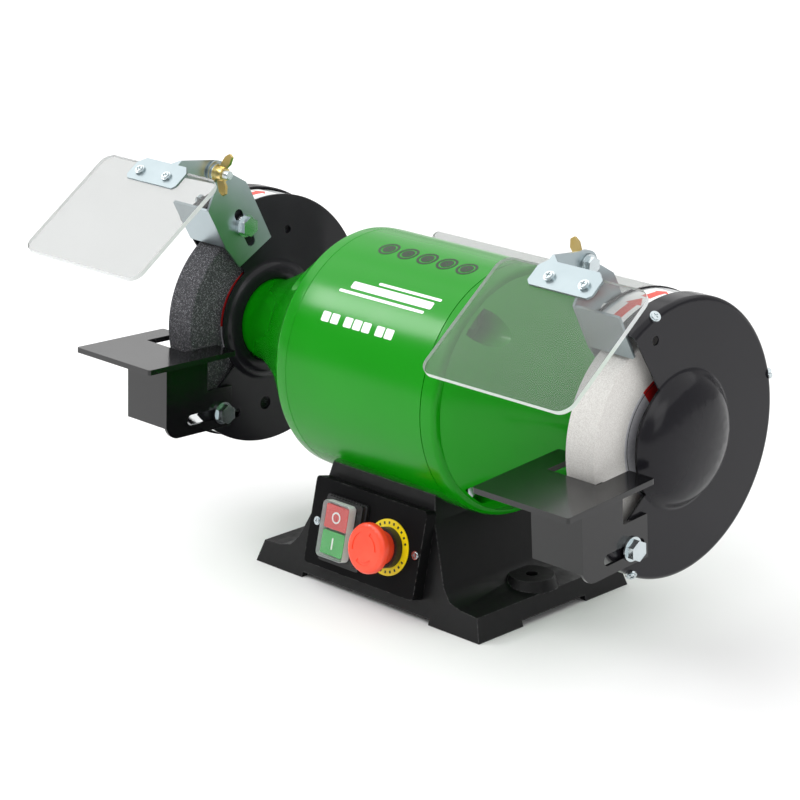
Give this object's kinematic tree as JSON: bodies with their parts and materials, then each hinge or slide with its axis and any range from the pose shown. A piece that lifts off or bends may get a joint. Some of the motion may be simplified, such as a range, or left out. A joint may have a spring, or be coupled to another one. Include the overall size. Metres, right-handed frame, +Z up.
{
  "type": "bench grinder",
  "caption": "Pedestal bench grinder with guarded wheels, clear eye shields, slotted tool rests and a front switch box.",
  "frame": {"origin": "centre of the base underside, midway between the two bench bolt holes", "axes": "+X along the spindle from left wheel to right wheel, -Y towards the operator, +Z up"},
  "size_m": [0.523, 0.2906, 0.2925],
  "materials": {
    "base_black": "satin black powder coat on the cast base",
    "bare_steel": "bare turned or rolled steel",
    "zinc_plate": "bright zinc plated hardware",
    "zinc_sheet": "zinc plated folded sheet",
    "rim_zinc": "bright rolled sheet band",
    "yellow_zinc": "yellow passivated zinc",
    "black_plastic": "moulded black plastic",
    "panel_black": "textured black switch box",
    "clear_boot": "soft clear boot",
    "red_button": "moulded red",
    "green_button": "moulded green",
    "yellow_label": "printed yellow ring",
    "estop_red": "moulded red mushroom",
    "white_plastic": "pale moulded plastic",
    "green_paint": "glossy green enamel",
    "lamination": "stacked electrical steel",
    "copper": "enamelled copper wire",
    "bearing_steel": "polished bearing steel",
    "clear_screen": "clear polycarbonate sheet",
    "guard_black": "satin black enamel on pressed sheet",
    "grey_wheel": "coarse dark abrasive grain",
    "white_wheel": "fine white abrasive grain",
    "label_card": "silvery printed blotter with plain rings",
    "rest_black": "satin black folded steel"
  },
  "bodies": {
    "stand": {"base_casting": "base_black", "bottom_cover": "bare_steel", "base_screws": "zinc_plate", "cable_gland": "black_plastic", "switch_panel": "panel_black", "panel_screws": "zinc_plate", "switch_frame": "black_plastic", "switch_boot": "clear_boot", "switch_body": "black_plastic", "estop_label_ring": "yellow_label", "estop_collar": "black_plastic", "contact_block": "black_plastic", "capacitor": "white_plastic", "capacitor_strap": "zinc_plate", "terminal_block": "white_plastic", "motor_housing": "green_paint", "left_end_bell": "green_paint", "right_end_bell": "green_paint", "through_bolts": "zinc_plate", "stator_core": "lamination", "stator_windings": "copper", "bearing_outer_rings": "bearing_steel", "rear_screen": "clear_screen", "screen_standoffs": "zinc_plate", "left_inner_guard": "guard_black", "right_inner_guard": "guard_black", "rim_bands": "rim_zinc", "left_cover": "guard_black", "right_cover": "guard_black", "guard_fasteners": "zinc_plate", "dust_outlets": "guard_black"},
    "rotor": {"spindle": "bare_steel", "rotor_core": "lamination", "bearing_inner_rings": "bearing_steel", "bearing_balls": "bearing_steel", "left_wheel": "grey_wheel", "right_wheel": "white_wheel", "wheel_labels": "label_card", "wheel_flanges": "zinc_plate", "spindle_nuts": "zinc_plate"},
    "left_bracket": {"left_spark_bracket": "zinc_sheet", "left_pivot_bolt": "zinc_plate"},
    "right_bracket": {"right_spark_bracket": "zinc_sheet", "right_pivot_bolt": "zinc_plate"},
    "left_eye_shield": {"left_shield_arm": "zinc_sheet", "left_shield": "clear_screen", "left_shield_screws": "zinc_plate"},
    "right_eye_shield": {"right_shield_arm": "zinc_sheet", "right_shield": "clear_screen", "right_shield_screws": "zinc_plate"},
    "left_wing": {"left_wing_nut": "yellow_zinc"},
    "right_wing": {"right_wing_nut": "yellow_zinc"},
    "left_rest_pivot": {"left_rest_bolt": "zinc_plate"},
    "right_rest_pivot": {"right_rest_bolt": "zinc_plate"},
    "left_tool_rest": {"left_rest": "rest_black"},
    "right_tool_rest": {"right_rest": "rest_black"},
    "stop_key": {"stop_button": "red_button"},
    "start_key": {"start_button": "green_button"},
    "estop_push": {"estop_stem": "bare_steel"},
    "estop_turn": {"estop_head": "estop_red"}
  },
  "joints": [
    {"name": "rotor_spin", "type": "hinge", "parent": "stand", "child": "rotor", "pos_m": [0, 0, 0.1555], "axis": [1, 0, 0], "continuous": true},
    {"name": "left_bracket_slide", "type": "slide", "parent": "stand", "child": "left_bracket", "axis": [0, -0.468, 0.8837], "range_m": [-0.002, 0.0105]},
    {"name": "left_shield_hinge", "type": "hinge", "parent": "left_bracket", "child": "left_eye_shield", "pos_m": [-0.18, -0.052, 0.2772], "axis": [1, 0, 0], "range_deg": [-70, 15]},
    {"name": "left_wing_turn", "type": "hinge", "parent": "left_bracket", "child": "left_wing", "pos_m": [-0.172, -0.052, 0.2772], "axis": [1, 0, 0], "range_deg": [-180, 180]},
    {"name": "left_rest_tilt", "type": "hinge", "parent": "stand", "child": "left_rest_pivot", "pos_m": [-0.2, -0.0525, 0.0935], "axis": [1, 0, 0], "range_deg": [-1, 8]},
    {"name": "left_rest_slide", "type": "slide", "parent": "left_rest_pivot", "child": "left_tool_rest", "axis": [0, 0.9992, -0.0391], "range_m": [-0.0018, 0.003]},
    {"name": "right_bracket_slide", "type": "slide", "parent": "stand", "child": "right_bracket", "axis": [0, -0.468, 0.8837], "range_m": [-0.002, 0.0105]},
    {"name": "right_shield_hinge", "type": "hinge", "parent": "right_bracket", "child": "right_eye_shield", "pos_m": [0.18, -0.052, 0.2772], "axis": [1, 0, 0], "range_deg": [-70, 15]},
    {"name": "right_wing_turn", "type": "hinge", "parent": "right_bracket", "child": "right_wing", "pos_m": [0.172, -0.052, 0.2772], "axis": [1, 0, 0], "range_deg": [-180, 180]},
    {"name": "right_rest_tilt", "type": "hinge", "parent": "stand", "child": "right_rest_pivot", "pos_m": [0.2, -0.0525, 0.0935], "axis": [1, 0, 0], "range_deg": [-1, 8]},
    {"name": "right_rest_slide", "type": "slide", "parent": "right_rest_pivot", "child": "right_tool_rest", "axis": [0, 0.9977, 0.0675], "range_m": [-0.0085, 0.0015]},
    {"name": "stop_press", "type": "slide", "parent": "stand", "child": "stop_key", "axis": [0, 0.9736, -0.2281], "range_m": [0, 0.003], "stiffness_N_per_m": 600},
    {"name": "start_press", "type": "slide", "parent": "stand", "child": "start_key", "axis": [0, 0.9736, -0.2281], "range_m": [0, 0.003], "stiffness_N_per_m": 600},
    {"name": "estop_press", "type": "slide", "parent": "stand", "child": "estop_push", "axis": [0, 0.9736, -0.2281], "range_m": [0, 0.004]},
    {"name": "estop_twist", "type": "hinge", "parent": "estop_push", "child": "estop_turn", "pos_m": [0.0242, -0.08408, 0.04857], "axis": [0, -0.9736, 0.2281], "range_deg": [0, 45], "stiffness_Nm_per_rad": 0.05}
  ]
}
